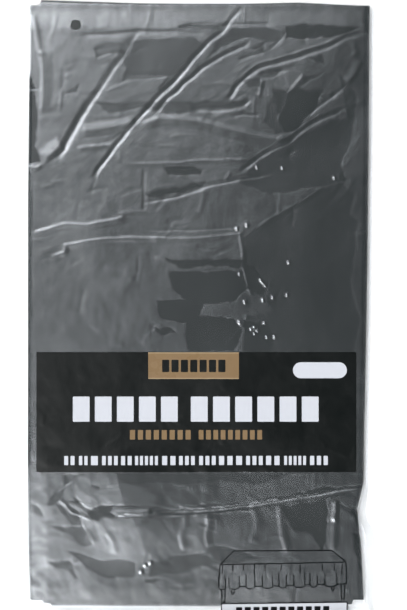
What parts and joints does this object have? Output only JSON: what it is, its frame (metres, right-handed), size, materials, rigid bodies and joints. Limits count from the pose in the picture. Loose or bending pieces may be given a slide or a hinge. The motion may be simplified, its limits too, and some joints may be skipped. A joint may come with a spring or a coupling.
{
  "type": "folded plastic table cover in a clear bag",
  "caption": "Dark grey plastic table cover, folded flat and sealed in a clear printed bag with a fold-over flap.",
  "frame": {"origin": "middle of the pack's footprint, on the surface that it lies on", "axes": "+Z out of the printed face, +Y towards the mouth of the bag, +X to the right of a reader"},
  "size_m": [0.1984, 0.3662, 0.0074],
  "materials": {
    "cloth_film": "satin",
    "bag_film": "gloss",
    "adhesive": "satin",
    "black_ink": "gloss",
    "gold_ink": "satin",
    "white_ink": "satin"
  },
  "bodies": {
    "bag": {"bag_front_panel": "bag_film", "bag_back_panel": "bag_film", "bag_left_side_fold": "bag_film", "bag_right_side_fold": "bag_film", "bag_bottom_slope": "bag_film", "bag_bottom_margin": "bag_film", "bag_bottom_seal": "bag_film", "bag_mouth_fold": "bag_film", "label_band": "black_ink", "label_accent_block": "gold_ink", "label_blank_badge": "white_ink", "label_title_block_1": "white_ink", "label_title_block_2": "white_ink", "label_subtitle_block_1": "gold_ink", "label_subtitle_block_2": "gold_ink", "label_size_line": "white_ink", "pictogram_table": "black_ink", "pictogram_caption_panel": "white_ink"},
    "flap": {"closing_flap": "bag_film", "adhesive_strip": "adhesive"},
    "tablecloth": {"folded_tablecloth": "cloth_film"}
  },
  "joints": [
    {"name": "flap_hinge", "type": "hinge", "parent": "bag", "child": "flap", "pos_m": [0, 0.18063, 0.00363], "axis": [1, 0, 0], "range_deg": [0, 180], "deforming": ["bag_mouth_fold"]},
    {"name": "tablecloth_slide", "type": "slide", "parent": "bag", "child": "tablecloth", "axis": [0, 1, 0], "range_m": [0, 0.36]}
  ]
}
